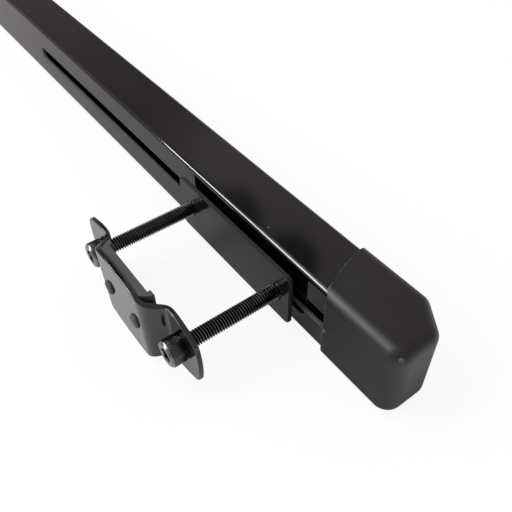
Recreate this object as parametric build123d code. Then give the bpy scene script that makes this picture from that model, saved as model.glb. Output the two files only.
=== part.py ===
from build123d import *
from math import atan2, tan
import os

# Universal roof rack crossbar, lying on its side as it comes out of the box.
# X runs along the bar. The load face, which is the top in use, looks towards +Y.
# The slot face, which is the underside in use, looks towards -Y, where the rail clamps stand.
# The origin is the middle of the load face. All sizes are in millimetres.

# Steel tube
bar_length = 1200.0
bar_width = 30.0
bar_depth = 23.0
bar_wall = 1.5
bar_corner = 2.0
bar_inner_corner = 0.4
slot_outer_end = 5.5
slot_inner_end = 262.8

# Moulded end cap
cap_wall = 1.6
cap_fit = 0.1
cap_overrun = 13.0
cap_stop = 1.6
cap_cover_load = 27.6
cap_cover_slot = 18.7
cap_rim_bow = 1.3
cap_slope_run = 12.3
cap_slope_drop = 8.4
cap_turn = 6.0
cap_edge = 4.5

# Socket head screws
bolt_spacing = 55.4
bolt_d = 6.0
bolt_length = 50.0
bolt_end_chamfer = 0.7
head_d = 10.0
head_height = 6.0
head_chamfer = 0.7
hex_across = 5.0
hex_depth = 3.0

# Clamp and the plate that slides inside the tube
clamp_from_end = 68.5
plate_margin = 10.0
plate_t = 5.0
plate_side_clear = 1.5
plate_face_clear = 0.3
plate_chamfer = 0.8
thread_clear = 0.05
bolt_tip_out = 0.2
slot_clear = 0.25

# Rail pad between bar and rail
pad_margin = 7.6
pad_width = 24.0
pad_t = 1.8
pad_stand_off = 2.5
pad_corner = 2.5
pad_edge = 0.4
pad_hole_clear = 0.25

# Stamped clamp bracket
bracket_t = 1.8
bracket_margin = 10.6
bracket_width = 33.2
bracket_end_width = 20.0
bracket_end_bow = 1.4
bracket_corner = 5.0
bracket_hole_clear = 0.3
joggle_depth = 7.0
joggle_run = 4.9
bend_foot = 2.5
bend_head = 3.3
bend_clear = 0.3

# Rubber jaw pad inside the bracket
jaw_t = 3.3
jaw_length = 31.6
jaw_width = 30.6
jaw_end_clear = 0.3
jaw_lip_width = 2.6
jaw_lip_height = 1.2
jaw_edge = 0.4
peg_spacing = 18.8
peg_d = 5.5
peg_proud = 0.9
peg_chamfer = 0.5
peg_clear = 0.05

# Places that follow from the sizes above
bar_end = bar_length / 2
slot_face = -bar_depth
slot_width = bolt_d + 2 * slot_clear
clamp_x = bar_end - clamp_from_end
plate_near = slot_face + bar_wall + plate_face_clear
bolt_tip = plate_near + plate_t + bolt_tip_out
bolt_seat = bolt_tip - bolt_length
flange_outer = bolt_seat
middle_outer = flange_outer - joggle_depth
middle_inner = middle_outer + bracket_t
bolt_places = (-bolt_spacing / 2, bolt_spacing / 2)
peg_places = (-peg_spacing / 2, peg_spacing / 2)

# The joggle keeps its bend clear of the screw heads
half_bend = tan(atan2(joggle_depth, joggle_run) / 2)
joggle_foot = bolt_spacing / 2 - head_d / 2 - bend_clear - bend_foot * half_bend
joggle_head = joggle_foot - joggle_run
middle_flat = joggle_head - (bracket_t + bend_head) * half_bend

# The jaw pad lies in the bracket's trough, so its lower corners follow the joggle, or its own ends
# where the trough is longer
jaw_foot = min(middle_flat - jaw_end_clear, jaw_length / 2 - jaw_edge)
jaw_side = middle_inner + (jaw_length / 2 - jaw_foot) * joggle_depth / joggle_run

# Its lips stand above the joggle, and the rounding takes a sixth of the rubber at their root at most
jaw_face = middle_inner + jaw_t
jaw_root = jaw_length / 2 - jaw_lip_width
jaw_under = middle_inner + max(jaw_root - jaw_foot, 0) * joggle_depth / joggle_run
jaw_round = min(jaw_edge, (jaw_face - jaw_under) / 6)
jaw_top = max(jaw_face + jaw_lip_height, jaw_side + 2 * jaw_round)

# Two heights or directions closer than this are the same
same = 0.01


def rod(radius, start, length):
    """A round bar along +Y from the height start."""
    return extrude(Plane.XZ.offset(-start) * Circle(radius), -length)


def plate(outline, start, thickness):
    """A flat outline drawn in X and Z, thickened along +Y from the height start."""
    return extrude(Plane.XZ.offset(-start) * outline, -thickness)


def bar_tube():
    inner_corner = max(bar_corner - bar_wall, bar_inner_corner)
    section = RectangleRounded(bar_depth, bar_width, bar_corner)
    section -= RectangleRounded(bar_depth - 2 * bar_wall, bar_width - 2 * bar_wall, inner_corner)
    tube = extrude(Plane.YZ * Pos(-bar_depth / 2, 0) * section, bar_end, both=True)
    slot_length = slot_inner_end - slot_outer_end
    slot_middle = bar_end - (slot_inner_end + slot_outer_end) / 2
    cutter = plate(SlotOverall(slot_length, slot_width), slot_face - bar_wall, 3 * bar_wall)
    for side in (1, -1):
        tube -= Pos(side * slot_middle, 0, 0) * cutter
    return tube


def end_cap():
    low = slot_face - cap_wall
    high = cap_wall
    end = bar_end + cap_overrun
    rim_low = Vector(bar_end - cap_cover_slot, low)
    rim_high = Vector(bar_end - cap_cover_load, high)
    rim_middle = (rim_low + rim_high) / 2 - Vector(cap_rim_bow, 0)

    # Plan outline: slanted rim, slot side, end and the slope up to the load side
    rim = ThreePointArc(rim_high, rim_middle, rim_low)
    sides = FilletPolyline(
        rim_low,
        (end, low),
        (end, high - cap_slope_drop),
        (end - cap_slope_run, high),
        rim_high,
        radius=cap_turn,
    )
    outline = make_face([rim, *sides.edges()])
    cap = extrude(outline, bar_width / 2 + cap_wall, both=True)
    rim_wall = cap.faces().sort_by(Axis.X)[0]
    cap = fillet(cap.faces().filter_by(Axis.Z).edges() - rim_wall.edges(), cap_edge)

    # The tube goes in up to a step, and the space past the step follows the outline
    sleeve = RectangleRounded(bar_depth + 2 * cap_fit, bar_width + 2 * cap_fit, bar_corner + cap_fit)
    cap -= extrude(Plane.YZ.offset(bar_end) * Pos(-bar_depth / 2, 0) * sleeve, -2 * cap_cover_load)
    hollow = offset(outline, -(cap_wall + cap_stop), kind=Kind.INTERSECTION)
    return cap - extrude(hollow, bar_width / 2 - cap_stop, both=True)


def slide_plate():
    blank = Rectangle(bolt_spacing + 2 * plate_margin, bar_width - 2 * (bar_wall + plate_side_clear))
    body = plate(blank, plate_near, plate_t)
    body = chamfer(body.edges(), plate_chamfer)
    for x in bolt_places:
        body -= Pos(x, 0, 0) * rod(bolt_d / 2 + thread_clear, plate_near, plate_t)
    return body


def rail_pad():
    back = slot_face - pad_stand_off
    outline = RectangleRounded(bolt_spacing + 2 * pad_margin, pad_width, pad_corner)
    body = plate(outline, back - pad_t, pad_t)
    body = chamfer(body.faces().filter_by(Axis.Y).edges(), pad_edge)
    for x in bolt_places:
        body -= Pos(x, 0, 0) * rod(bolt_d / 2 + pad_hole_clear, back - pad_t, pad_t)
    return body


def clamp_bracket():
    half_length = bolt_spacing / 2 + bracket_margin
    flange_line = flange_outer + bracket_t / 2
    middle_line = middle_outer + bracket_t / 2
    line_foot = joggle_foot - bracket_t / 2 * half_bend
    line_head = joggle_head - bracket_t / 2 * half_bend

    # Side view: the strip's middle line with its four bends, thickened
    foot_turn = bend_foot + bracket_t / 2
    head_turn = bend_head + bracket_t / 2
    bends = FilletPolyline(
        (-half_length, flange_line),
        (-line_foot, flange_line),
        (-line_head, middle_line),
        (line_head, middle_line),
        (line_foot, flange_line),
        (half_length, flange_line),
        radius=(foot_turn, head_turn, head_turn, foot_turn),
    )
    blank = extrude(trace(bends, bracket_t), bracket_width / 2, both=True)

    # Plan outline: bowed sides and ends with rounded corners, then the holes
    blank &= plate(bracket_outline(half_length), middle_outer, joggle_depth + bracket_t)
    for x in bolt_places:
        blank -= Pos(x, 0, 0) * rod(bolt_d / 2 + bracket_hole_clear, flange_outer, bracket_t)
    for x in peg_places:
        blank -= Pos(x, 0, 0) * rod(peg_d / 2 + peg_clear, middle_outer, bracket_t)
    return blank


def bracket_outline(half_length):
    corner = Vector(half_length - bracket_end_bow, bracket_end_width / 2)
    side = ThreePointArc((-corner.X, corner.Y), (0, bracket_width / 2), (corner.X, corner.Y))
    end = ThreePointArc((corner.X, corner.Y), (half_length, 0), (corner.X, -corner.Y))
    outline = make_face([side, end, mirror(side, Plane.XZ), mirror(end, Plane.YZ)])
    return fillet(outline.vertices(), bracket_corner)


def jaw_pad():
    profile = Polygon(
        (-jaw_foot, middle_inner),
        (jaw_foot, middle_inner),
        (jaw_length / 2, jaw_side),
        (jaw_length / 2, jaw_top),
        (jaw_root, jaw_top),
        (jaw_root, jaw_face),
        (-jaw_root, jaw_face),
        (-jaw_root, jaw_top),
        (-jaw_length / 2, jaw_top),
        (-jaw_length / 2, jaw_side),
        align=None,
    )
    body = extrude(profile, jaw_width / 2, both=True)
    sides = body.faces().filter_by(Axis.Z).edges()
    body = fillet(sides.filter_by(lambda edge: edge.center().Y > middle_inner + same), jaw_round)
    for x in peg_places:
        body += Pos(x, 0, 0) * peg()
    return body


def peg():
    length = bracket_t + peg_proud
    body = rod(peg_d / 2, middle_inner - length, length)
    return chamfer(body.edges().group_by(Axis.Y)[0], peg_chamfer)


def bolt():
    head = rod(head_d / 2, bolt_seat - head_height, head_height)
    head = chamfer(head.edges().group_by(Axis.Y)[0], head_chamfer)
    shank = rod(bolt_d / 2, bolt_seat, bolt_length)
    shank = chamfer(shank.edges().group_by(Axis.Y)[-1], bolt_end_chamfer)
    socket = RegularPolygon(hex_across / 2, 6, major_radius=False)
    return head + shank - plate(socket, bolt_seat - head_height, hex_depth)


nodes = {"bar_tube": bar_tube(), "end_cap_right": end_cap()}
nodes["end_cap_left"] = mirror(nodes["end_cap_right"], Plane.YZ)

at_clamp = Pos(clamp_x, 0, 0)
inner_x, outer_x = bolt_places
clamp_pieces = {
    "slide_plate": slide_plate(),
    "rail_pad": rail_pad(),
    "clamp_bracket": clamp_bracket(),
    "jaw_pad": jaw_pad(),
    "bolt_outer": Pos(outer_x, 0, 0) * bolt(),
    "bolt_inner": Pos(inner_x, 0, 0) * bolt(),
}
for name, piece in clamp_pieces.items():
    nodes[name + "_right"] = at_clamp * piece
    nodes[name + "_left"] = mirror(at_clamp * piece, Plane.YZ)

os.makedirs("parts", exist_ok=True)
for name, solid in nodes.items():
    export_step(solid, os.path.join("parts", name + ".step"))
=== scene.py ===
import math

import bmesh
import bpy
from mathutils import Matrix, Vector, noise


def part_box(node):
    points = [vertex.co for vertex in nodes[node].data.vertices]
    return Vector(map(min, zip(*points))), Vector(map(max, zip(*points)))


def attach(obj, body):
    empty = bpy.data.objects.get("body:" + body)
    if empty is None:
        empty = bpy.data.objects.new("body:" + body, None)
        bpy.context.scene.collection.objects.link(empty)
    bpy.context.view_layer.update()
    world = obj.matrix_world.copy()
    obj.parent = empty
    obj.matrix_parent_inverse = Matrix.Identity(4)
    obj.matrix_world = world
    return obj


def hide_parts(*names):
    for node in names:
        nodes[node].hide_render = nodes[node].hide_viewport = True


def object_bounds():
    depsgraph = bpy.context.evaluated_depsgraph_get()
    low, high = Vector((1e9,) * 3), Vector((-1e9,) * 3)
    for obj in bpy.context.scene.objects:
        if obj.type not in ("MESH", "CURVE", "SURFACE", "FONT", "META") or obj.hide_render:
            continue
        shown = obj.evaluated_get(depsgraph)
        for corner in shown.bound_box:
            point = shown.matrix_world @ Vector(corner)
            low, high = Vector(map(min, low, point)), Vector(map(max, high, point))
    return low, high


# Roof rack crossbar lying on its side. X along the bar, load face towards +Y, clamps towards -Y, metres.
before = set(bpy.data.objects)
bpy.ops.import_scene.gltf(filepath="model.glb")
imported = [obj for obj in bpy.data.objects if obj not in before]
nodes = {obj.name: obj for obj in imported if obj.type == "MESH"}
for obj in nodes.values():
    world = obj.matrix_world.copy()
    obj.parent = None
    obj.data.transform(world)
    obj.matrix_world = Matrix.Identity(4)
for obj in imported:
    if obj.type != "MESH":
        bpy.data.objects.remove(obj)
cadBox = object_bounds()
scene = bpy.context.scene
scene.view_settings.view_transform = "Standard"
mm = 0.001
hair = 1e-5  # millimetres: a point this near to a cut lies on it
nearZero = 1e-9  # keeps a division safe
noiseLow, noiseHigh = 0.3, 0.7  # most of a noise texture lies between these
rollAngles = [math.radians(a) for a in (22.5, 45, 67.5, 90)]  # steps round a rolled or rounded edge
sides = {"right": 1, "left": -1}
print("frame loaded:", len(nodes), "nodes")


# colours are written as sRGB hex and used as linear light
def linear(hexColour):
    parts = [int(hexColour[i:i + 2], 16) / 255 for i in (1, 3, 5)]
    return [c / 12.92 if c <= 0.04045 else ((c + 0.055) / 1.055) ** 2.4 for c in parts] + [1.0]


# how often a pattern of this size in millimetres repeats in a metre
def repeats(size):
    return 1 / (size * mm)


# one node, its options, and its inputs: a socket is linked and anything else is a plain value
def addNode(tree, kind, options, inputs):
    node = tree.nodes.new(kind)
    for name, value in options.items():
        setattr(node, name, value)
    for name, value in inputs.items():
        if isinstance(value, bpy.types.NodeSocket):
            tree.links.new(value, node.inputs[name])
        else:
            node.inputs[name].default_value = value
    return node


# an empty material and the piece's own coordinates
def startMaterial(name):
    material = bpy.data.materials.new(name)
    material.use_nodes = True
    tree = material.node_tree
    tree.nodes.clear()
    place = addNode(tree, "ShaderNodeTexCoord", {}, {}).outputs["Object"]
    return material, tree, place


# the material's shader with its inputs, wired to the output
def finishMaterial(tree, inputs):
    shader = addNode(tree, "ShaderNodeBsdfPrincipled", {}, inputs)
    addNode(tree, "ShaderNodeOutputMaterial", {}, {"Surface": shader.outputs[0]})


def wear(piece, material):
    piece.data.materials.clear()
    piece.data.materials.append(material)


# Stove enamel on drawn steel tube: the eye sees a near-black mirror with a faint orange peel,
# a slow change in depth along the bar, a few specks of dust, and dull thin paint on the slot's punched edge.
enamel = {
    "deep": "#060607", "pale": "#0C0C0E", "dust": "#77777A", "cut": "#4C4C4F",
    "cloud": 60.0, "peel": 2.2, "peelHeight": 0.0022,
    "dustEvery": 11.0, "dustReach": 0.035, "dustCore": 0.4,
    "roughLow": 0.045, "roughHigh": 0.09, "cutRough": 0.9, "ior": 1.5,
}


def stoveEnamel():
    material, tree, place = startMaterial("stoveEnamelledSteel")
    cloud = addNode(tree, "ShaderNodeTexNoise", {}, {
        "Vector": place, "Scale": repeats(enamel["cloud"]), "Detail": 3.0})
    peel = addNode(tree, "ShaderNodeTexNoise", {}, {
        "Vector": place, "Scale": repeats(enamel["peel"]), "Detail": 1.5})
    specks = addNode(tree, "ShaderNodeTexVoronoi", {}, {
        "Vector": place, "Scale": repeats(enamel["dustEvery"])})
    dusty = addNode(tree, "ShaderNodeMapRange", {}, {
        "Value": specks.outputs["Distance"], "From Min": enamel["dustReach"],
        "From Max": enamel["dustReach"] * enamel["dustCore"]})
    colour = addNode(tree, "ShaderNodeMix", {"data_type": "RGBA"}, {
        0: cloud.outputs[0], 6: linear(enamel["deep"]), 7: linear(enamel["pale"])})
    dusted = addNode(tree, "ShaderNodeMix", {"data_type": "RGBA"}, {
        0: dusty.outputs[0], 6: colour.outputs[2], 7: linear(enamel["dust"])})
    cut = addNode(tree, "ShaderNodeAttribute", {"attribute_name": "cutEdge"}, {}).outputs["Fac"]
    edged = addNode(tree, "ShaderNodeMix", {"data_type": "RGBA"}, {
        0: cut, 6: dusted.outputs[2], 7: linear(enamel["cut"])})
    rough = addNode(tree, "ShaderNodeMapRange", {}, {
        "Value": cloud.outputs[0], "From Min": noiseLow, "From Max": noiseHigh,
        "To Min": enamel["roughLow"], "To Max": enamel["roughHigh"]})
    dustRough = addNode(tree, "ShaderNodeMath", {"operation": "MAXIMUM"}, {
        0: rough.outputs[0], 1: dusty.outputs[0]})
    cutRough = addNode(tree, "ShaderNodeMapRange", {}, {
        "Value": cut, "To Min": dustRough.outputs[0], "To Max": enamel["cutRough"]})
    bump = addNode(tree, "ShaderNodeBump", {}, {
        "Strength": 1.0, "Distance": enamel["peelHeight"] * mm, "Height": peel.outputs[0]})
    finishMaterial(tree, {
        "Base Color": edged.outputs[2], "Roughness": cutRough.outputs[0],
        "Normal": bump.outputs[0], "IOR": enamel["ior"]})
    return material


# Dip-painted pressing: a gloss black that flows over the bends, a little softer and wavier than the tube,
# with thin greyer paint where the rims are sharp.
dipPaint = {
    "deep": "#060508", "pale": "#0C0B10", "rim": "#1C1C1F",
    "flow": 7.0, "flowHeight": 0.006, "peel": 1.4, "peelHeight": 0.0015,
    "roughLow": 0.05, "roughHigh": 0.09, "ior": 1.6,
}


def dippedPressing():
    material, tree, place = startMaterial("dipPaintedSteel")
    flow = addNode(tree, "ShaderNodeTexNoise", {}, {
        "Vector": place, "Scale": repeats(dipPaint["flow"]), "Detail": 1.0})
    peel = addNode(tree, "ShaderNodeTexNoise", {}, {
        "Vector": place, "Scale": repeats(dipPaint["peel"]), "Detail": 2.0})
    worn = addNode(tree, "ShaderNodeAttribute", {"attribute_name": "rimWear"}, {})
    patchy = addNode(tree, "ShaderNodeMath", {"operation": "MULTIPLY"}, {
        0: worn.outputs["Fac"], 1: peel.outputs[0]})
    colour = addNode(tree, "ShaderNodeMix", {"data_type": "RGBA"}, {
        0: flow.outputs[0], 6: linear(dipPaint["deep"]), 7: linear(dipPaint["pale"])})
    rimmed = addNode(tree, "ShaderNodeMix", {"data_type": "RGBA"}, {
        0: patchy.outputs[0], 6: colour.outputs[2], 7: linear(dipPaint["rim"])})
    rough = addNode(tree, "ShaderNodeMapRange", {}, {
        "Value": flow.outputs[0], "From Min": noiseLow, "From Max": noiseHigh,
        "To Min": dipPaint["roughLow"], "To Max": dipPaint["roughHigh"]})
    wave = addNode(tree, "ShaderNodeBump", {}, {
        "Strength": 1.0, "Distance": dipPaint["flowHeight"] * mm, "Height": flow.outputs[0]})
    bump = addNode(tree, "ShaderNodeBump", {}, {
        "Strength": 1.0, "Distance": dipPaint["peelHeight"] * mm, "Height": peel.outputs[0],
        "Normal": wave.outputs[0]})
    finishMaterial(tree, {
        "Base Color": rimmed.outputs[2], "Roughness": rough.outputs[0],
        "Normal": bump.outputs[0], "IOR": dipPaint["ior"]})
    return material


# Moulded polypropylene with a spark-eroded mould grain: matt charcoal, a broad soft highlight on the
# round edges and slight clouding. The real grain is about 0.1 mm and is drawn at 0.5 mm so that it shows.
plastic = {
    "deep": "#0B0B0C", "pale": "#111112", "cloud": 18.0, "grain": 0.5, "grainHeight": 0.012,
    "roughLow": 0.4, "roughHigh": 0.52, "ior": 1.49,
}

# The same plastic where a gate or the flash was torn off: stress-whitened, dull and uneven.
tornPlastic = {
    "deep": "#242426", "pale": "#6A6A6D", "cloud": 1.6, "grain": 0.4, "grainHeight": 0.03,
    "roughLow": 0.55, "roughHigh": 0.8, "ior": 1.49,
}


def mouldedPlastic(name, look):
    material, tree, place = startMaterial(name)
    cloud = addNode(tree, "ShaderNodeTexNoise", {}, {
        "Vector": place, "Scale": repeats(look["cloud"]), "Detail": 4.0})
    grain = addNode(tree, "ShaderNodeTexNoise", {}, {
        "Vector": place, "Scale": repeats(look["grain"]), "Detail": 2.0})
    colour = addNode(tree, "ShaderNodeMix", {"data_type": "RGBA"}, {
        0: cloud.outputs[0], 6: linear(look["deep"]), 7: linear(look["pale"])})
    rough = addNode(tree, "ShaderNodeMapRange", {}, {
        "Value": cloud.outputs[0], "From Min": noiseLow, "From Max": noiseHigh,
        "To Min": look["roughLow"], "To Max": look["roughHigh"]})
    bump = addNode(tree, "ShaderNodeBump", {}, {
        "Strength": 1.0, "Distance": look["grainHeight"] * mm, "Height": grain.outputs[0]})
    finishMaterial(tree, {
        "Base Color": colour.outputs[2], "Roughness": rough.outputs[0],
        "Normal": bump.outputs[0], "IOR": look["ior"]})
    return material


# Pressed EPDM rubber: dull dark grey with a pale bloom in patches and the faint tooth of the press plate.
rubber = {
    "deep": "#38383A", "bloom": "#535356", "patch": 14.0, "tooth": 0.6, "toothHeight": 0.02,
    "roughLow": 0.55, "roughHigh": 0.75, "ior": 1.52,
}


def pressedRubber():
    material, tree, place = startMaterial("pressedEpdmRubber")
    patch = addNode(tree, "ShaderNodeTexNoise", {}, {
        "Vector": place, "Scale": repeats(rubber["patch"]), "Detail": 5.0})
    tooth = addNode(tree, "ShaderNodeTexNoise", {}, {
        "Vector": place, "Scale": repeats(rubber["tooth"]), "Detail": 2.0})
    colour = addNode(tree, "ShaderNodeMix", {"data_type": "RGBA"}, {
        0: patch.outputs[0], 6: linear(rubber["deep"]), 7: linear(rubber["bloom"])})
    rough = addNode(tree, "ShaderNodeMapRange", {}, {
        "Value": patch.outputs[0], "From Min": noiseLow, "From Max": noiseHigh,
        "To Min": rubber["roughLow"], "To Max": rubber["roughHigh"]})
    bump = addNode(tree, "ShaderNodeBump", {}, {
        "Strength": 1.0, "Distance": rubber["toothHeight"] * mm, "Height": tooth.outputs[0]})
    finishMaterial(tree, {
        "Base Color": colour.outputs[2], "Roughness": rough.outputs[0],
        "Normal": bump.outputs[0], "IOR": rubber["ior"]})
    return material


# Calendered rubber sheet for the rail pads: smooth and near black, with a half-gloss skin that mirrors
# the floor in soft clouds and a few dull scuffs. The die-cut edges are dull.
sheetRubber = {
    "deep": "#0B0B0C", "bloom": "#151517", "patch": 16.0, "scuff": 5.0, "tooth": 0.7, "toothHeight": 0.004,
    "roughLow": 0.12, "roughHigh": 0.3, "edgeRough": 0.9, "edgeFrom": 0.9, "faceFrom": 0.99, "ior": 1.52,
}


def calenderedRubber():
    material, tree, place = startMaterial("calenderedRubberSheet")
    patch = addNode(tree, "ShaderNodeTexNoise", {}, {
        "Vector": place, "Scale": repeats(sheetRubber["patch"]), "Detail": 3.0})
    scuff = addNode(tree, "ShaderNodeTexNoise", {}, {
        "Vector": place, "Scale": repeats(sheetRubber["scuff"]), "Detail": 5.0})
    tooth = addNode(tree, "ShaderNodeTexNoise", {}, {
        "Vector": place, "Scale": repeats(sheetRubber["tooth"]), "Detail": 2.0})
    colour = addNode(tree, "ShaderNodeMix", {"data_type": "RGBA"}, {
        0: scuff.outputs[0], 6: linear(sheetRubber["deep"]), 7: linear(sheetRubber["bloom"])})
    rough = addNode(tree, "ShaderNodeMapRange", {}, {
        "Value": patch.outputs[0], "From Min": noiseLow, "From Max": noiseHigh,
        "To Min": sheetRubber["roughLow"], "To Max": sheetRubber["roughHigh"]})
    facing = addNode(tree, "ShaderNodeTexCoord", {}, {}).outputs["Normal"]
    across = addNode(tree, "ShaderNodeSeparateXYZ", {}, {"Vector": facing}).outputs["Y"]
    flat = addNode(tree, "ShaderNodeMath", {"operation": "ABSOLUTE"}, {0: across})
    edged = addNode(tree, "ShaderNodeMapRange", {}, {
        "Value": flat.outputs[0], "From Min": sheetRubber["edgeFrom"], "From Max": sheetRubber["faceFrom"],
        "To Min": sheetRubber["edgeRough"], "To Max": rough.outputs[0]})
    bump = addNode(tree, "ShaderNodeBump", {}, {
        "Strength": 1.0, "Distance": sheetRubber["toothHeight"] * mm, "Height": tooth.outputs[0]})
    finishMaterial(tree, {
        "Base Color": colour.outputs[2], "Roughness": edged.outputs[0],
        "Normal": bump.outputs[0], "IOR": sheetRubber["ior"]})
    return material


# Black-oxide steel screws with an oil finish: dark metal that glints on crests, knurl and socket rim,
# where the oxide has rubbed thin.
oxide = {
    "deep": "#0F0F10", "pale": "#1A1A1B", "rubbed": "#B4B4B8", "patch": 3.0,
    "roughLow": 0.13, "roughHigh": 0.24,
}


def blackOxide():
    material, tree, place = startMaterial("blackOxideSteel")
    patch = addNode(tree, "ShaderNodeTexNoise", {}, {
        "Vector": place, "Scale": repeats(oxide["patch"]), "Detail": 4.0})
    rub = addNode(tree, "ShaderNodeAttribute", {"attribute_name": "rubbed"}, {})
    patchy = addNode(tree, "ShaderNodeMath", {"operation": "MULTIPLY"}, {
        0: rub.outputs["Fac"], 1: patch.outputs[0]})
    colour = addNode(tree, "ShaderNodeMix", {"data_type": "RGBA"}, {
        0: patch.outputs[0], 6: linear(oxide["deep"]), 7: linear(oxide["pale"])})
    rubbed = addNode(tree, "ShaderNodeMix", {"data_type": "RGBA"}, {
        0: patchy.outputs[0], 6: colour.outputs[2], 7: linear(oxide["rubbed"])})
    rough = addNode(tree, "ShaderNodeMapRange", {}, {
        "Value": patch.outputs[0], "From Min": noiseLow, "From Max": noiseHigh,
        "To Min": oxide["roughLow"], "To Max": oxide["roughHigh"]})
    finishMaterial(tree, {"Base Color": rubbed.outputs[2], "Roughness": rough.outputs[0], "Metallic": 1.0})
    return material


# Black chromated zinc plate on the nut plates inside the tube: dark, half-dull metal, cool and olive
# in clouds.
zinc = {"cool": "#26282B", "warm": "#2E2D28", "cloud": 5.0, "roughLow": 0.32, "roughHigh": 0.48}


def zincPlate():
    material, tree, place = startMaterial("zincPlatedSteel")
    cloud = addNode(tree, "ShaderNodeTexNoise", {}, {
        "Vector": place, "Scale": repeats(zinc["cloud"]), "Detail": 3.0})
    colour = addNode(tree, "ShaderNodeMix", {"data_type": "RGBA"}, {
        0: cloud.outputs[0], 6: linear(zinc["cool"]), 7: linear(zinc["warm"])})
    rough = addNode(tree, "ShaderNodeMapRange", {}, {
        "Value": cloud.outputs[0], "From Min": noiseLow, "From Max": noiseHigh,
        "To Min": zinc["roughLow"], "To Max": zinc["roughHigh"]})
    finishMaterial(tree, {"Base Color": colour.outputs[2], "Roughness": rough.outputs[0], "Metallic": 1.0})
    return material


enamelled = stoveEnamel()
dipped = dippedPressing()
moulded = mouldedPlastic("mouldedPolypropylene", plastic)
torn = mouldedPlastic("tornPolypropylene", tornPlastic)
pressed = pressedRubber()
calendered = calenderedRubber()
oxidised = blackOxide()
plated = zincPlate()
for side in sides:
    wear(nodes["end_cap_" + side], moulded)
    wear(nodes["rail_pad_" + side], calendered)
    wear(nodes["jaw_pad_" + side], pressed)
    wear(nodes["slide_plate_" + side], plated)
print("finishes on the solids done")


# a dressed piece from a finished shape, smooth all over or only up to an angle in degrees
def pieceFrom(shape, name, material, sharp=None):
    mesh = bpy.data.meshes.new(name)
    shape.to_mesh(mesh)
    shape.free()
    mesh.polygons.foreach_set("use_smooth", [True] * len(mesh.polygons))
    if sharp:
        mesh.set_sharp_from_angle(angle=math.radians(sharp))
    piece = bpy.data.objects.new(name, mesh)
    scene.collection.objects.link(piece)
    wear(piece, material)
    return piece


# Steel tube with its two long slots: sizes as on the drawing, plus the roll that the punch leaves
# on a slot's edge and how soon the dull paint begins on it
tubeSizes = {
    "halfLength": 600.0, "depth": 23.0, "width": 30.0, "wall": 1.5, "corner": 2.0, "innerCorner": 0.5,
    "slotFrom": 337.2, "slotTo": 594.5, "slotHalf": 3.25, "roll": 1.0, "cutRamp": 1.3,
    "cornerSteps": 8, "slotSteps": 16,
}


# the section as points with their outward direction, from one end of the slot face round to its other end
def tubeSection(s, inset, corner):
    halfDepth = s["depth"] / 2 - inset - corner
    halfWidth = s["width"] / 2 - inset - corner
    section = []
    for k, (wayY, wayZ) in enumerate(((-1, -1), (1, -1), (1, 1), (-1, 1))):
        for i in range(s["cornerSteps"] + 1):
            a = math.pi + math.pi / 2 * (k + i / s["cornerSteps"])
            out = Vector((0, math.cos(a), math.sin(a)))
            centre = Vector((0, wayY * halfDepth - s["depth"] / 2, wayZ * halfWidth))
            section.append((centre + out * corner, out))
    return section


# a slot's outline in x and z with its outward direction, for a half width
def slotLoop(s, reach, sign):
    steps = s["slotSteps"]
    loop = []
    for middle, start in ((s["slotTo"] - s["slotHalf"], -0.5), (s["slotFrom"] + s["slotHalf"], 0.5)):
        for i in range(steps + 1):
            a = math.pi * (start + i / steps)
            out = Vector((math.cos(a) * sign, 0, math.sin(a)))
            loop.append((Vector((middle * sign, 0, 0)) + out * reach, out))
    return loop


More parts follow.
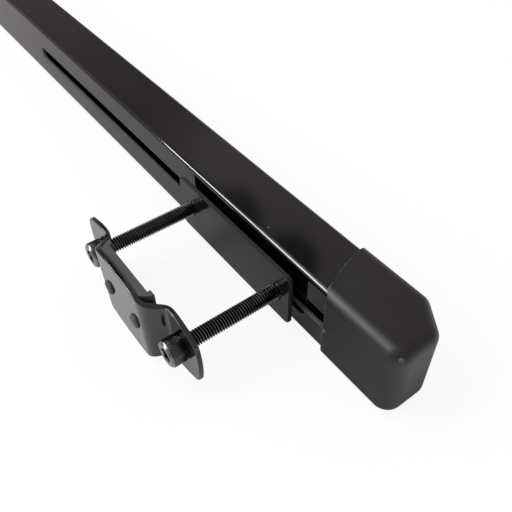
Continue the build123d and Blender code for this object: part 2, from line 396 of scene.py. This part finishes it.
def slottedTube():
    s = tubeSizes
    shape = bmesh.new()
    cutMark = shape.verts.layers.float.new("cutEdge")
    ways = []

    def addVert(spot, directions, cut=0.0):
        vert = shape.verts.new(spot)
        vert[cutMark] = cut
        ways.append(directions)
        return vert

    def joined(verts):
        pairs = zip(verts, verts[1:] + verts[:1])
        return [shape.edges.get(pair) or shape.edges.new(pair) for pair in pairs]

    def fill(loops, normal):
        rims = [edge for loop in loops for edge in joined(loop)]
        bmesh.ops.triangle_fill(shape, use_beauty=True, edges=rims, normal=normal)

    # walls along the bar, outside and inside, open at the slot face
    rings = {}
    skins = (("outer", 0, s["corner"], 1), ("inner", s["wall"], s["innerCorner"], -1))
    for skin, inset, corner, sense in skins:
        for end in (-1, 1):
            along = Vector((end * s["halfLength"], 0, 0))
            rings[skin, end] = [addVert(spot + along, [out * sense, Vector((end, 0, 0))])
                                for spot, out in tubeSection(s, inset, corner)]
        one, two = rings[skin, -1], rings[skin, 1]
        for a, b, c, d in zip(one, one[1:], two[1:], two):
            shape.faces.new((a, b, c, d))

    # each slot's edge rolls in from the face and then runs straight through the wall
    rims = {"outer": [], "inner": []}
    for sign in sides.values():
        rows = []
        for roll in [0.0] + rollAngles:
            reach = s["slotHalf"] + s["roll"] * (1 - math.sin(roll))
            level = Vector((0, -s["depth"] + s["roll"] * (1 - math.cos(roll)), 0))
            cut = min(s["cutRamp"] * math.sin(roll), 1.0)
            rows.append([addVert(spot + level, [Vector((0, -math.cos(roll), 0)) - out * math.sin(roll)], cut)
                         for spot, out in slotLoop(s, reach, sign)])
        level = Vector((0, s["wall"] - s["depth"], 0))
        rows.append([addVert(spot + level, [-out, Vector((0, 1, 0))], 1.0)
                     for spot, out in slotLoop(s, s["slotHalf"], sign)])
        for one, two in zip(rows, rows[1:]):
            for a, b, c, d in zip(one, one[1:] + one[:1], two[1:] + two[:1], two):
                shape.faces.new((a, b, c, d))
        rims["outer"].append(rows[0])
        rims["inner"].append(rows[-1])
    for skin, normal in (("outer", (0, -1, 0)), ("inner", (0, 1, 0))):
        one, two = rings[skin, -1], rings[skin, 1]
        fill([[one[0], two[0], two[-1], one[-1]]] + rims[skin], normal)
    for end in (-1, 1):
        fill([rings["outer", end], rings["inner", end]], (end, 0, 0))

    bmesh.ops.recalc_face_normals(shape, faces=shape.faces[:])
    bmesh.ops.scale(shape, vec=(mm, mm, mm), verts=shape.verts[:])
    piece = pieceFrom(shape, "slottedTube", enamelled)
    mesh = piece.data
    mesh.update()
    corners = []
    for face in mesh.polygons:
        corners += [max(ways[i], key=face.normal.dot) for i in face.vertices]
    mesh.normals_split_custom_set([tuple(c) for c in corners])
    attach(piece, "bar")
    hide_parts("bar_tube")


slottedTube()
print("tube slotted")


# Moulding marks on the end caps: a ragged lip of flash round the rim and two sheared gate nibs
capMarks = {
    "rimLoad": 572.4, "rimSlot": 581.3, "bow": 1.3, "low": -24.6, "high": 1.6, "halfWidth": 16.6,
    "corner": 4.5, "cornerSteps": 6, "step": 0.35,
    "flashLeast": 0.1, "flashMost": 0.7, "flashEvery": 1.7, "flashGain": 4.0, "flashNose": 0.3,
    "sunk": 0.02, "sunkDeep": 0.08, "root": 0.6,
    "nibs": [(582.3, -24.6, -0.8), (612.2, -22.8, 14.6)], "nibRadius": 0.8, "nibHeight": 0.6,
    "nibForm": [(1.2, -0.3), (1.0, 0.25), (0.85, 0.9), (0.4, 1.0)],  # shares of its radius and height
    "nibSides": 14, "nibRagged": 0.35, "nibWander": 3.0, "sharp": 40,
}


# points round the cap's slanted rim with their outward direction, from the section's round corners
def rimPath(s):
    half = (s["high"] - s["low"]) / 2
    middle = (s["high"] + s["low"]) / 2
    flatY = half - s["corner"]
    flatZ = s["halfWidth"] - s["corner"]
    path = []
    for k, (wayY, wayZ) in enumerate(((-1, -1), (1, -1), (1, 1), (-1, 1))):
        for i in range(s["cornerSteps"] + 1):
            a = math.pi + math.pi / 2 * (k + i / s["cornerSteps"])
            y = wayY * flatY + s["corner"] * math.cos(a)
            z = wayZ * flatZ + s["corner"] * math.sin(a)
            path.append((Vector((y, z)), Vector((0, math.cos(a), math.sin(a)))))
    fine = []
    for (spot, out), (after, outAfter) in zip(path, path[1:] + path[:1]):
        count = max(1, round((after - spot).length / s["step"]))
        for i in range(count):
            fine.append((spot.lerp(after, i / count), out.lerp(outAfter, i / count).normalized()))
    places = []
    for spot, out in fine:
        share = spot.x / half
        slant = (s["rimLoad"] + s["rimSlot"]) / 2 + share * (s["rimLoad"] - s["rimSlot"]) / 2
        x = slant - s["bow"] * (1 - share * share)
        places.append((Vector((x, spot.x + middle, spot.y)), out))
    return places


def rimFlash(side):
    s = capMarks
    sign = sides[side]
    shape = bmesh.new()
    rows = []
    for spot, out in rimPath(s):
        wild = max(0.0, noise.noise(spot / s["flashEvery"])) ** 2
        lip = s["flashLeast"] + (s["flashMost"] - s["flashLeast"]) * min(wild * s["flashGain"], 1.0)
        section = [(s["root"], -s["sunkDeep"]), (-lip * s["flashNose"], -s["sunk"]),
                   (-lip, -s["sunkDeep"]), (s["root"], -s["root"])]
        rows.append([shape.verts.new((sign * (spot.x + x), spot.y + out.y * up, spot.z + out.z * up))
                     for x, up in section])
    for one, two in zip(rows, rows[1:] + rows[:1]):
        for a, b, c, d in zip(one, one[1:] + one[:1], two[1:] + two[:1], two):
            shape.faces.new((a, b, c, d))
    return shape


# a nib stands on the cap's own surface, with a torn uneven end
def gateNib(side, shape):
    s = capMarks
    count = s["nibSides"]
    for x, y, z in s["nibs"]:
        near = Vector((x * sides[side], y, z)) * mm
        _, foot, out, _ = nodes["end_cap_" + side].closest_point_on_mesh(near)
        across = out.orthogonal().normalized()
        along = out.cross(across)
        rows = []
        for share, lift in s["nibForm"]:
            row = []
            for i in range(count):
                a = 2 * math.pi * i / count
                grain = Vector((x + s["nibWander"] * math.cos(a), y + s["nibWander"] * math.sin(a), lift))
                ragged = 1 + s["nibRagged"] * noise.noise(grain)
                reach = (across * math.cos(a) + along * math.sin(a)) * s["nibRadius"] * share * ragged
                row.append(shape.verts.new(foot / mm + reach + out * s["nibHeight"] * lift * ragged))
            rows.append(row)
        for one, two in zip(rows, rows[1:]):
            for i in range(count):
                k = (i + 1) % count
                shape.faces.new((one[i], one[k], two[k], two[i]))
        shape.faces.new(rows[-1])
        shape.faces.new(rows[0][::-1])


for side in sides:
    marks = rimFlash(side)
    gateNib(side, marks)
    bmesh.ops.recalc_face_normals(marks, faces=marks.faces[:])
    bmesh.ops.scale(marks, vec=(mm, mm, mm), verts=marks.verts[:])
    piece = pieceFrom(marks, "mouldMarks_" + side, torn, capMarks["sharp"])
    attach(piece, "bar")
print("cap marks added")


# Clamp bracket, pressed from a flat blank: sizes as on the drawing, plus the rim's rounding and how far
# the press draws the sides in at the joggles
bracketSizes = {
    "thickness": 1.8, "halfLength": 38.3, "width": 33.2, "endWidth": 20.0, "endBow": 1.4, "corner": 5.0,
    "boltX": 27.7, "boltHole": 3.3, "pegX": 9.4, "pegHole": 2.8,
    "flange": -66.0, "depth": 7.0, "run": 4.9, "bendFoot": 2.5, "bendHead": 3.3, "headClear": 5.3,
    "drawIn": 1.9, "drawAt": 19.2, "drawSpread": 4.2, "rim": 0.4, "cutWear": 0.4,
    "sideSteps": 40, "cornerSteps": 14, "endSteps": 12, "bendSteps": 10, "holeSteps": 48,
}


def arc(centre, radius, start, end, count):
    turn = [start + (end - start) * i / count for i in range(count + 1)]
    return [Vector((centre[0] + radius * math.cos(a), centre[1] + radius * math.sin(a))) for a in turn]


# plan outline pulled in by the rim's rounding: bowed sides, bowed ends and a round corner between them
def blankOutline(s, inset):
    rise = (s["width"] - s["endWidth"]) / 2
    reach = s["halfLength"] - s["endBow"]
    sideR = (reach ** 2 + rise ** 2) / (2 * rise)
    endR = ((s["endWidth"] / 2) ** 2 + s["endBow"] ** 2) / (2 * s["endBow"])
    sideC = Vector((0, s["width"] / 2 - sideR))
    endC = Vector((s["halfLength"] - endR, 0))
    a = sideR - s["corner"]
    b = endR - s["corner"]
    gap = endC - sideC
    along = (a * a - b * b + gap.length_squared) / (2 * gap.length)
    up = math.sqrt(a * a - along * along)
    unit = gap.normalized()
    corner = sideC + unit * along + Vector((unit.y, -unit.x)) * up
    one = (corner - sideC).normalized()
    two = (corner - endC).normalized()
    sideAngle = math.atan2(one.y, one.x)
    endAngle = math.atan2(two.y, two.x)
    quarter = arc(sideC, sideR - inset, math.pi / 2, sideAngle, s["sideSteps"])
    quarter += arc(corner, s["corner"] - inset, sideAngle, endAngle, s["cornerSteps"])[1:]
    quarter += arc(endC, endR - inset, endAngle, 0, s["endSteps"])[1:]
    for spot in quarter:
        spot.y -= s["drawIn"] * math.exp(-((spot.x - s["drawAt"]) / s["drawSpread"]) ** 2)
    half = quarter + [Vector((p.x, -p.y)) for p in reversed(quarter[:-1])]
    return half + [Vector((-p.x, p.y)) for p in reversed(half[1:-1])]


# side view of one face as points from the middle outwards: level, bend, slope, bend, level
def sideView(foot, head, low, high, footR, headR, steps):
    slope = math.atan2(high - low, foot - head)
    tangent = math.tan(slope / 2)
    points = []
    for i in range(steps + 1):
        a = slope * i / steps
        points.append((head - headR * tangent + headR * math.sin(a), low + headR * (1 - math.cos(a)), a))
    for i in range(steps + 1):
        a = slope * (1 - i / steps)
        points.append((foot + footR * tangent - footR * math.sin(a), high - footR * (1 - math.cos(a)), a))
    return points


# height and slope of a face at a distance from the middle
def heightAt(view, x):
    x = abs(x)
    if x <= view[0][0]:
        return view[0][1], 0.0
    for before, after in zip(view, view[1:]):
        if x <= after[0]:
            t = (x - before[0]) / max(after[0] - before[0], nearZero)
            return before[1] + (after[1] - before[1]) * t, before[2] + (after[2] - before[2]) * t
    return view[-1][1], 0.0


def clampBracket(side):
    s = bracketSizes
    tangent = math.tan(math.atan2(s["depth"], s["run"]) / 2)
    foot = s["boltX"] - s["headClear"] - s["bendFoot"] * tangent
    head = foot - s["run"]
    t = s["thickness"]
    outer = sideView(foot, head, s["flange"] - s["depth"], s["flange"],
                     s["bendFoot"], s["bendHead"] + t, s["bendSteps"])
    inner = sideView(foot - t * tangent, head - t * tangent, s["flange"] - s["depth"] + t, s["flange"] + t,
                     s["bendFoot"] + t, s["bendHead"], s["bendSteps"])

    # flat blank with its four holes, cut across wherever a bend needs a line
    flat = bmesh.new()
    loops = [blankOutline(s, s["rim"])]
    for x, r in ((s["boltX"], s["boltHole"]), (s["pegX"], s["pegHole"])):
        loops += [arc((sign * x, 0), r + s["rim"], 0, 2 * math.pi, s["holeSteps"])[:-1] for sign in (1, -1)]
    for loop in loops:
        corners = [flat.verts.new((p.x, 0, p.y)) for p in loop]
        for one, two in zip(corners, corners[1:] + corners[:1]):
            flat.edges.new((one, two))
    bmesh.ops.triangle_fill(flat, use_beauty=True, edges=flat.edges[:], normal=(0, -1, 0))
    for x, _, _ in outer + inner:
        for sign in (1, -1):
            bmesh.ops.bisect_plane(flat, geom=flat.verts[:] + flat.edges[:] + flat.faces[:], dist=hair,
                                   plane_co=(sign * x, 0, 0), plane_no=(1, 0, 0))
    bmesh.ops.triangulate(flat, faces=flat.faces[:])
    flat.verts.index_update()

    # way out of the sheet at each rim point, from the rim's own run
    out = {}
    for edge in flat.edges:
        if len(edge.link_faces) != 1:
            continue
        run = edge.verts[1].co - edge.verts[0].co
        away = Vector((run.z, 0, -run.x)).normalized()
        if away.dot(edge.link_faces[0].calc_center_median() - edge.verts[0].co) > 0:
            away = -away
        for vert in edge.verts:
            out[vert.index] = out.get(vert.index, Vector((0, 0, 0))) + away

    points, directions, faces, thin = [], [], [], []

    # a point of one face, or of its rim rolled over by the angle roll
    def addPoint(vert, view, sense, roll):
        away = out[vert.index].normalized() if roll is not None else Vector((0, 0, 0))
        roll = roll or 0.0
        spot = vert.co + away * s["rim"] * math.sin(roll)
        height, slope = heightAt(view, spot.x)
        tilt = slope if spot.x > 0 else -slope
        up = Vector((-math.sin(tilt), math.cos(tilt), 0)) * sense
        points.append((spot.x, height - sense * s["rim"] * (1 - math.cos(roll)), spot.z))
        directions.append((up * math.cos(roll) + away * math.sin(roll)).normalized())
        thin.append(s["cutWear"] if roll == rollAngles[-1] else math.sin(roll))
        return len(points) - 1

    rows = {}
    for view, sense in ((outer, -1), (inner, 1)):
        index = {v.index: addPoint(v, view, sense, None) for v in flat.verts}
        for face in flat.faces:
            corners = [index[v.index] for v in face.verts]
            flip = (face.normal.y > 0) != (sense > 0)
            faces.append(corners[::-1] if flip else corners)
        for i in out:
            rows[i, sense] = [index[i]]
    for vert in flat.verts:
        if vert.index in out:
            for view, sense in ((outer, -1), (inner, 1)):
                rows[vert.index, sense] += [addPoint(vert, view, sense, a) for a in rollAngles]
    for edge in flat.edges:
        if len(edge.link_faces) != 1:
            continue
        one, two = edge.verts[0].index, edge.verts[1].index
        ladderOne = rows[one, -1] + rows[one, 1][::-1]
        ladderTwo = rows[two, -1] + rows[two, 1][::-1]
        for a, b, c, d in zip(ladderOne, ladderTwo, ladderTwo[1:], ladderOne[1:]):
            normal = (Vector(points[b]) - Vector(points[a])).cross(Vector(points[d]) - Vector(points[a]))
            flip = normal.dot(out[one]) < 0
            faces.append((d, c, b, a) if flip else (a, b, c, d))
    flat.free()

    low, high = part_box("clamp_bracket_" + side)
    middle = (low.x + high.x) / 2
    mesh = bpy.data.meshes.new("clampBracket_" + side)
    mesh.from_pydata([(middle + p[0] * mm, p[1] * mm, p[2] * mm) for p in points], [], faces)
    mesh.polygons.foreach_set("use_smooth", [True] * len(mesh.polygons))
    mesh.attributes.new("rimWear", "FLOAT", "POINT").data.foreach_set("value", thin)
    mesh.update()
    mesh.normals_split_custom_set_from_vertices([tuple(d) for d in directions])
    piece = bpy.data.objects.new(mesh.name, mesh)
    scene.collection.objects.link(piece)
    wear(piece, dipped)
    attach(piece, "bracket_" + side)
    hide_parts("clamp_bracket_" + side)


for side in sides:
    clampBracket(side)
print("clamp brackets pressed")


# M6 socket head screw with its real thread, knurled head and hexagon socket
screwSizes = {
    "crest": 2.9, "root": 2.3, "pitch": 1.0, "crestFlat": 0.125, "rootFlat": 0.25, "turnSteps": 36,
    "length": 50.0, "tipChamfer": 0.75, "shankInto": 0.3, "spareTurns": 2,
    "headR": 5.0, "headHeight": 6.0, "headChamfer": 0.7, "edgeBreak": 0.06, "edgeDrop": 0.05,
    "knurls": 40, "knurlSteps": 3, "knurlDepth": 0.14, "knurlFrom": 0.2, "knurlTo": 0.55,
    "seatRound": 0.35, "seatIn": 0.2, "underHead": 3.1,
    "hexAcross": 5.0, "hexDepth": 3.0, "hexMouth": 2.98, "mouthBreak": 0.04, "floorBreak": 0.05,
    "drillR": 1.6, "drillDepth": 0.5, "sharp": 28,
}


# a shank along +Y from 0, cut square at both ends out of a longer right-hand helix
def threadedShank(s):
    shape = bmesh.new()
    mark = shape.verts.layers.float.new("rubbed")
    steps = s["turnSteps"]
    spare = s["spareTurns"]
    turns = int(s["length"] / s["pitch"]) + 2 * spare
    crestHalf = s["crestFlat"] / 2
    rootHalf = s["rootFlat"] / 2
    form = [(-crestHalf, s["crest"], 1.0), (crestHalf, s["crest"], 1.0),
            (0.5 - rootHalf, s["root"], 0.0), (0.5 + rootHalf, s["root"], 0.0)]
    last = len(form) - 1
    rows = []
    for i in range(turns * steps + 1):
        angle = 2 * math.pi * i / steps
        row = []
        for shift, radius, rub in form:
            y = -spare * s["pitch"] + s["pitch"] * (i / steps + shift)
            radius = min(radius, s["crest"] - s["tipChamfer"] + max(s["length"] - y, 0))
            vert = shape.verts.new((radius * math.sin(angle), y, radius * math.cos(angle)))
            vert[mark] = rub
            row.append(vert)
        rows.append(row)
    for i in range(len(rows) - 1):
        for j in range(last):
            shape.faces.new((rows[i][j], rows[i + 1][j], rows[i + 1][j + 1], rows[i][j + 1]))
        if i + steps + 1 < len(rows):
            shape.faces.new((rows[i][last], rows[i + 1][last], rows[i + steps + 1][0], rows[i + steps][0]))
    for y, way in ((-s["shankInto"], -1), (s["length"], 1)):
        cut = bmesh.ops.bisect_plane(shape, geom=shape.verts[:] + shape.edges[:] + shape.faces[:], dist=hair,
                                     plane_co=(0, y, 0), plane_no=(0, way, 0), clear_outer=True)
        rim = [g for g in cut["geom_cut"] if isinstance(g, bmesh.types.BMEdge)]
        bmesh.ops.edgeloop_fill(shape, edges=rim)
    return shape, mark


# head below 0, turned in rings: socket floor, socket walls, mouth, end face, knurled side and seat.
# Each ring has its reach, its level and how far the oxide is rubbed off there.
def screwHead(shape, mark, s):
    count = s["knurls"] * s["knurlSteps"]
    end = -s["headHeight"]

    def hexReach(a):
        return s["hexAcross"] / 2 / math.cos((a + math.pi / 6) % (math.pi / 3) - math.pi / 6)

    def ring(reach, level, rub):
        verts = []
        for i in range(count):
            a = 2 * math.pi * i / count
            r = reach(a, i) if callable(reach) else reach
            y = level(r) if callable(level) else level
            vert = shape.verts.new((r * math.sin(a), y, r * math.cos(a)))
            vert[mark] = rub
            verts.append(vert)
        return verts

    def ridged(a, i):
        return s["headR"] - (s["knurlDepth"] if i % s["knurlSteps"] == 0 else 0.0)

    flank = s["headR"] - s["headChamfer"]
    groove = s["headR"] - s["knurlDepth"]
    floor = end + s["hexDepth"]
    rings = [
        ring(s["drillR"], floor + s["drillDepth"], 0.0),
        ring(lambda a, i: hexReach(a) - s["floorBreak"], floor, 0.0),
        ring(lambda a, i: hexReach(a), floor - s["floorBreak"], 0.0),
        ring(lambda a, i: hexReach(a), lambda r: end + s["hexMouth"] - r + s["mouthBreak"], 0.3),
        ring(s["hexMouth"], end + s["mouthBreak"], 1.0),
        ring(s["hexMouth"] + s["edgeBreak"], end, 1.0),
        ring(flank - s["edgeBreak"], end, 0.4),
        ring(flank + s["edgeBreak"], end + s["edgeDrop"], 1.0),
        ring(groove, end + s["headChamfer"], 0.8),
        ring(ridged, end + s["headChamfer"] + s["knurlFrom"], 0.3),
        ring(ridged, -s["knurlTo"], 0.2),
        ring(groove, -s["seatRound"], 0.2),
        ring(s["headR"] - s["seatIn"], 0.0, 0.2),
        ring(s["underHead"], 0.0, 0.0),
    ]
    for one, two in zip(rings, rings[1:]):
        for i in range(count):
            k = (i + 1) % count
            shape.faces.new((one[i], two[i], two[k], one[k]))
    shape.faces.new(rings[0])
    shape.faces.new(rings[-1][::-1])


def capScrew(name, side):
    s = screwSizes
    shape, mark = threadedShank(s)
    screwHead(shape, mark, s)
    bmesh.ops.recalc_face_normals(shape, faces=shape.faces[:])
    low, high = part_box(name + "_" + side)
    seat = low.y + s["headHeight"] * mm
    place = Matrix.Translation(((low.x + high.x) / 2, seat, (low.z + high.z) / 2)) @ Matrix.Scale(mm, 4)
    bmesh.ops.transform(shape, matrix=place, verts=shape.verts[:])
    piece = pieceFrom(shape, name.replace("bolt_", "capScrew_") + "_" + side, oxidised, s["sharp"])
    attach(piece, name + "_" + side)
    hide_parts(name + "_" + side)


for side in sides:
    capScrew("bolt_outer", side)
    capScrew("bolt_inner", side)
print("screws threaded")


# Floor: plain and pale. Seen straight on it is lifted to white and keeps a faint shadow. In reflections
# it is pale with its natural shadow plus a painted glow: strong where it lies open, clear of the bar's sides
# and ends, and faint near the bar as painted shade.
stageLook = {
    "size": 14.0, "floor": "#D2D2D2", "straight": "#6E6E6E", "liftStraight": 0.88,
    # glow painted into the floor where it is seen in reflections: faint near the bar as painted shade,
    # strong in the open
    "paintedGlowNear": 0.04, "paintedGlowOpen": 0.62, "nearFrom": 55.0, "openFrom": 105.0, "endInset": 545.0,
}


def paleFloor():
    level = cadBox[0].z
    half = stageLook["size"] / 2
    mesh = bpy.data.meshes.new("floor")
    corners = [(-half, -half), (half, -half), (half, half), (-half, half)]
    mesh.from_pydata([(x, y, level) for x, y in corners], [], [(0, 1, 2, 3)])
    floor = bpy.data.objects.new("floor", mesh)
    scene.collection.objects.link(floor)
    material, tree, place = startMaterial("paleStudioFloor")
    ray = addNode(tree, "ShaderNodeLightPath", {}, {})
    mirror = addNode(tree, "ShaderNodeMath", {"operation": "MAXIMUM"}, {
        0: ray.outputs["Is Glossy Ray"], 1: ray.outputs["Is Transmission Ray"]})
    spread = addNode(tree, "ShaderNodeSeparateXYZ", {}, {"Vector": place})
    aside = addNode(tree, "ShaderNodeMath", {"operation": "ABSOLUTE"}, {0: spread.outputs["Y"]})
    along = addNode(tree, "ShaderNodeMath", {"operation": "ABSOLUTE"}, {0: spread.outputs["X"]})
    past = addNode(tree, "ShaderNodeMath", {"operation": "SUBTRACT"}, {
        0: along.outputs[0], 1: stageLook["endInset"] * mm})
    away = addNode(tree, "ShaderNodeMath", {"operation": "MAXIMUM"}, {
        0: aside.outputs[0], 1: past.outputs[0]})
    # painted light and shade in reflections: the floor's glow grows with distance from the bar, so it is dim
    # near the bar
    clear = addNode(tree, "ShaderNodeMapRange", {}, {
        "Value": away.outputs[0],
        "From Min": stageLook["nearFrom"] * mm, "From Max": stageLook["openFrom"] * mm,
        "To Min": stageLook["paintedGlowNear"], "To Max": stageLook["paintedGlowOpen"]})
    lift = addNode(tree, "ShaderNodeMath", {"operation": "MULTIPLY"}, {
        0: mirror.outputs[0], 1: clear.outputs[0]})
    natural = addNode(tree, "ShaderNodeBsdfDiffuse", {}, {"Color": linear(stageLook["floor"])})
    paintedGlowShader = addNode(tree, "ShaderNodeEmission", {}, {"Strength": lift.outputs[0]})
    inMirror = addNode(tree, "ShaderNodeAddShader", {}, {0: natural.outputs[0], 1: paintedGlowShader.outputs[0]})
    faint = addNode(tree, "ShaderNodeBsdfDiffuse", {}, {"Color": linear(stageLook["straight"])})
    white = addNode(tree, "ShaderNodeEmission", {}, {"Strength": stageLook["liftStraight"]})
    straight = addNode(tree, "ShaderNodeAddShader", {}, {0: faint.outputs[0], 1: white.outputs[0]})
    both = addNode(tree, "ShaderNodeMixShader", {}, {
        0: ray.outputs["Is Camera Ray"], 1: inMirror.outputs[0], 2: straight.outputs[0]})
    addNode(tree, "ShaderNodeOutputMaterial", {}, {"Surface": both.outputs[0]})
    mesh.materials.append(material)


# Room: soft and even, dimmer towards the far end of the bar, with dark gaps in the ceiling that the
# tube's upper face and the bracket's rim mirror, and white where the camera sees it
room = {
    "level": 0.55, "dim": 0.24, "dimWay": (-0.9, 0.27, 0.34), "dimFrom": 0.93, "dimTo": 0.978,
    "gaps": [((-0.625, 0.395, 0.673), 0.9978, 0.9993), ((-0.525, 0.44, 0.728), 0.9978, 0.9993),
             ((-0.676, 0.19, 0.711), 0.988, 0.996)],
    "gapDepth": 0.75, "tint": "#FFF4F2", "seen": "#FFFFFF",
}


def softRoom():
    world = bpy.data.worlds.new("softRoom")
    scene.world = world
    world.use_nodes = True
    tree = world.node_tree
    tree.nodes.clear()
    way = addNode(tree, "ShaderNodeTexCoord", {}, {})
    ray = addNode(tree, "ShaderNodeLightPath", {}, {})
    facing = addNode(tree, "ShaderNodeVectorMath", {"operation": "DOT_PRODUCT"}, {
        0: way.outputs["Generated"], 1: Vector(room["dimWay"]).normalized()})
    level = addNode(tree, "ShaderNodeMapRange", {"interpolation_type": "SMOOTHSTEP"}, {
        "Value": facing.outputs["Value"], "From Min": room["dimFrom"], "From Max": room["dimTo"],
        "To Min": room["level"], "To Max": room["dim"]}).outputs[0]
    for gap, gapFrom, gapTo in room["gaps"]:
        near = addNode(tree, "ShaderNodeVectorMath", {"operation": "DOT_PRODUCT"}, {
            0: way.outputs["Generated"], 1: Vector(gap).normalized()})
        dark = addNode(tree, "ShaderNodeMapRange", {"interpolation_type": "SMOOTHSTEP"}, {
            "Value": near.outputs["Value"], "From Min": gapFrom, "From Max": gapTo,
            "To Min": 1.0, "To Max": 1 - room["gapDepth"]})
        level = addNode(tree, "ShaderNodeMath", {"operation": "MULTIPLY"}, {
            0: level, 1: dark.outputs[0]}).outputs[0]
    seen = addNode(tree, "ShaderNodeMix", {"data_type": "FLOAT"}, {
        0: ray.outputs["Is Camera Ray"], 2: level, 3: 1.0})
    colour = addNode(tree, "ShaderNodeMix", {"data_type": "RGBA"}, {
        0: ray.outputs["Is Camera Ray"], 6: linear(room["tint"]), 7: linear(room["seen"])})
    light = addNode(tree, "ShaderNodeBackground", {}, {
        "Color": colour.outputs[2], "Strength": seen.outputs[0]})
    addNode(tree, "ShaderNodeOutputWorld", {}, {"Surface": light.outputs[0]})


# Lamps: a wide softbox overhead, a fill on the clamp side, and a long panel that only shows in gloss
# and draws the line along the tube's corner
lamps = {
    "glossPanel": {
        "at": (-0.5, -0.846, 0.973), "to": (-0.5, -0.03, 0.0), "size": (0.9, 0.25),
        "watts": 24.0, "diffuse": False},
    "sideFill": {
        "at": (-0.2, -1.5, 1.0), "to": (0.5, -0.03, 0.0), "size": (0.8, 0.8),
        "watts": 8.0, "diffuse": True},
    "wideSoftbox": {
        "at": (-0.25, -0.55, 1.6), "to": (0.4, 0.0, 0.0), "size": (1.0, 1.0),
        "watts": 9.0, "diffuse": True},
}


def softLamps():
    for name, lamp in lamps.items():
        light = bpy.data.lights.new(name, "AREA")
        light.shape = "RECTANGLE"
        light.size, light.size_y = lamp["size"]
        light.energy = lamp["watts"]
        piece = bpy.data.objects.new(name, light)
        piece.location = lamp["at"]
        piece.rotation_euler = (Vector(lamp["to"]) - Vector(lamp["at"])).to_track_quat("-Z", "Y").to_euler()
        piece.visible_diffuse = lamp["diffuse"]
        scene.collection.objects.link(piece)


paleFloor()
softRoom()
softLamps()
print("floor, room and lamps set")


# Camera where the photograph was taken from, for a square picture
eye = {
    "at": (662.77, -109.12, 154.78),
    "right": (0.59334, 0.80471, -0.01958), "down": (0.57194, -0.43858, -0.6932),
    "lens": 40.584, "sensor": 36.0, "shift": (0.0034, 0.0006), "clipFrom": 0.005,
}


def photoCamera():
    data = bpy.data.cameras.new("photoCamera")
    data.sensor_fit = "HORIZONTAL"
    data.sensor_width = eye["sensor"]
    data.lens = eye["lens"]
    data.shift_x, data.shift_y = eye["shift"]
    data.clip_start = eye["clipFrom"]
    right = Vector(eye["right"]).normalized()
    up = -Vector(eye["down"]).normalized()
    turn = Matrix((right, up, right.cross(up))).transposed().to_4x4()
    camera = bpy.data.objects.new("photoCamera", data)
    camera.matrix_world = Matrix.Translation(Vector(eye["at"]) * mm) @ turn
    scene.collection.objects.link(camera)
    scene.camera = camera


photoCamera()
